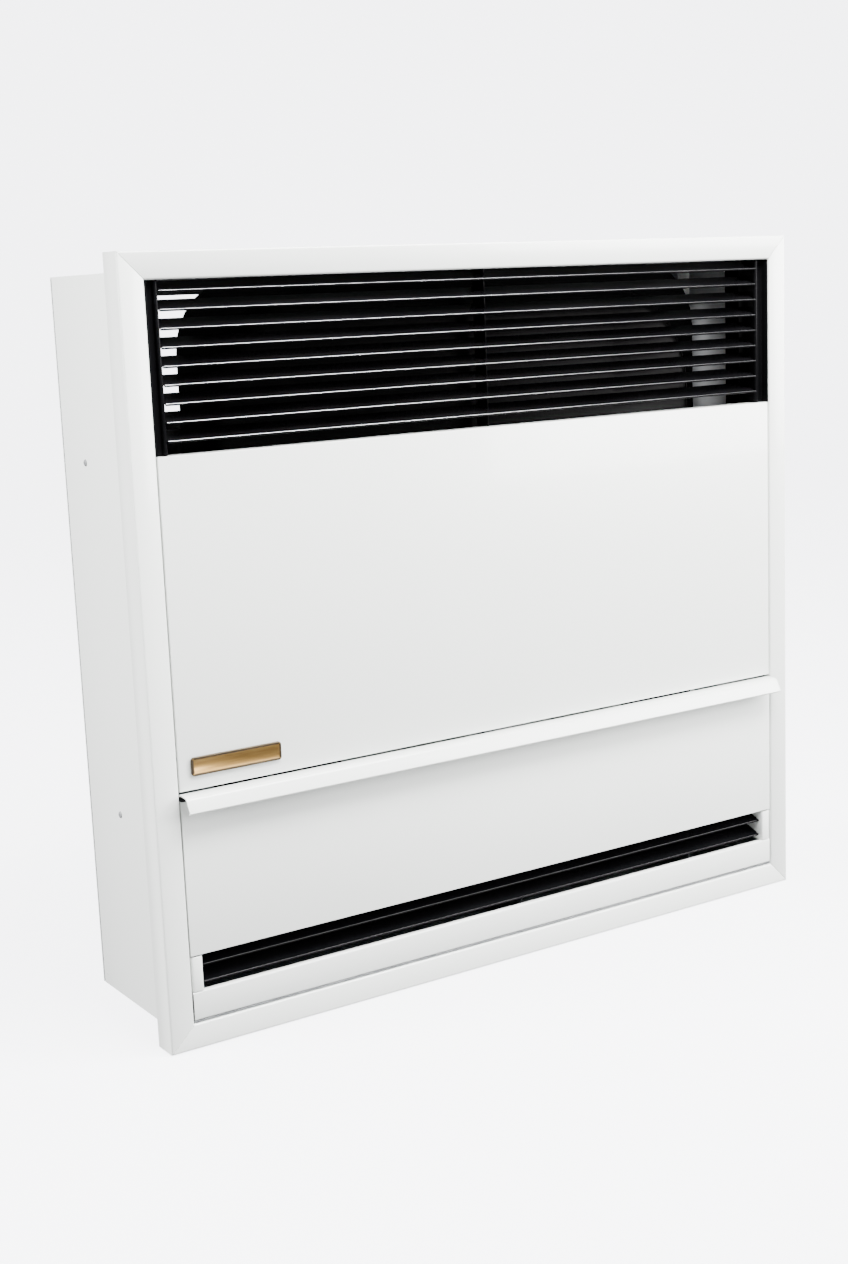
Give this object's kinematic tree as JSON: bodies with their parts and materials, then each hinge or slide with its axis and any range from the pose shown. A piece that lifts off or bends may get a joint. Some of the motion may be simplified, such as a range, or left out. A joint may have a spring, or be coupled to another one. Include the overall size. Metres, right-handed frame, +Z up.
{
  "type": "wall mounted gas heater",
  "caption": "Recessed direct-vent gas wall heater with a black louvred outlet, white front, flap door over the controls and a sealed drum with burner inside.",
  "frame": {"origin": "centre of the rear face that lies on the wall", "axes": "+X to the right seen from the room, +Y into the wall, +Z up; the front faces -Y"},
  "size_m": [0.756, 0.1676, 0.705],
  "materials": {
    "white_enamel": "glossy off-white powder coat with a faint orange peel",
    "black_enamel": "glossy black enamel",
    "black_heat_enamel": "satin black heat-proof enamel",
    "galvanised_steel": "galvanised sheet",
    "bare_steel": "plain steel, lightly oiled",
    "brass": "machined brass",
    "badge_metal": "satin gold coloured plate with a dark edge",
    "cast_alloy": "die cast",
    "black_plastic": "moulded, fine grain",
    "red_plastic": "moulded, glossy",
    "black_magnet": "magnet in a moulded case",
    "fibre_gasket": "pressed ceramic fibre",
    "sight_window": "clear heat-proof glass",
    "ceramic": "glazed ceramic insulator"
  },
  "bodies": {
    "cabinet": {"side_panel_left": "white_enamel", "side_panel_right": "white_enamel", "top_panel": "white_enamel", "trim_top": "white_enamel", "trim_bottom": "white_enamel", "trim_left": "white_enamel", "trim_right": "white_enamel", "front_panel": "white_enamel", "inlet_stile_left": "white_enamel", "inlet_stile_right": "white_enamel", "bottom_rail": "white_enamel", "grille_channel_left": "black_enamel", "grille_channel_right": "black_enamel", "louvre_blade_1": "black_enamel", "louvre_blade_2": "black_enamel", "louvre_blade_3": "black_enamel", "louvre_blade_4": "black_enamel", "louvre_blade_5": "black_enamel", "louvre_blade_6": "black_enamel", "louvre_blade_7": "black_enamel", "louvre_blade_8": "black_enamel", "louvre_blade_9": "black_enamel", "grille_centre_comb": "black_enamel", "inlet_blade_1": "black_enamel", "inlet_blade_2": "black_enamel", "drum_front": "black_heat_enamel", "drum_rear": "black_heat_enamel", "side_liner_left": "black_heat_enamel", "side_liner_right": "black_heat_enamel", "base_panel": "galvanised_steel", "back_panel": "galvanised_steel", "flue_collar": "galvanised_steel", "air_duct": "galvanised_steel", "control_bridge": "galvanised_steel", "burner_plate": "bare_steel", "burner_tube": "bare_steel", "door_pin_left": "bare_steel", "door_pin_right": "bare_steel", "manifold_pipe": "bare_steel", "pilot_tube": "bare_steel", "gas_inlet_pipe": "bare_steel", "orifice_elbow": "brass", "shutoff_cock": "brass", "thermocouple": "brass", "badge_plate": "badge_metal", "gas_valve": "cast_alloy", "pilot_burner": "cast_alloy", "igniter_body": "black_plastic", "door_magnet": "black_magnet", "burner_gasket": "fibre_gasket", "sight_glass": "sight_window", "spark_electrode": "ceramic"},
    "door": {"access_door": "white_enamel", "pull_lip": "white_enamel"},
    "knob_stem": {"valve_stem": "brass"},
    "knob": {"valve_knob": "black_plastic"},
    "dial": {"temperature_dial": "black_plastic"},
    "igniter": {"igniter_button": "red_plastic"},
    "lever": {"shutoff_lever": "red_plastic"}
  },
  "joints": [
    {"name": "door_hinge", "type": "hinge", "parent": "cabinet", "child": "door", "pos_m": [0, -0.1437, -0.2529], "axis": [1, 0, 0], "range_deg": [0, 85]},
    {"name": "knob_press", "type": "slide", "parent": "cabinet", "child": "knob_stem", "axis": [0, 1, 0], "range_m": [0, 0.005], "stiffness_N_per_m": 600},
    {"name": "knob_turn", "type": "hinge", "parent": "knob_stem", "child": "knob", "pos_m": [0.193, -0.106, -0.2225], "axis": [0, -1, 0], "range_deg": [0, 180]},
    {"name": "dial_turn", "type": "hinge", "parent": "cabinet", "child": "dial", "pos_m": [0.229, -0.106, -0.2225], "axis": [0, -1, 0], "range_deg": [0, 270]},
    {"name": "igniter_press", "type": "slide", "parent": "cabinet", "child": "igniter", "axis": [0, 1, 0], "range_m": [0, 0.005], "stiffness_N_per_m": 500},
    {"name": "shutoff_turn", "type": "hinge", "parent": "cabinet", "child": "lever", "pos_m": [0.2813, -0.072, -0.199], "axis": [0, 0, -1], "range_deg": [0, 90]}
  ]
}
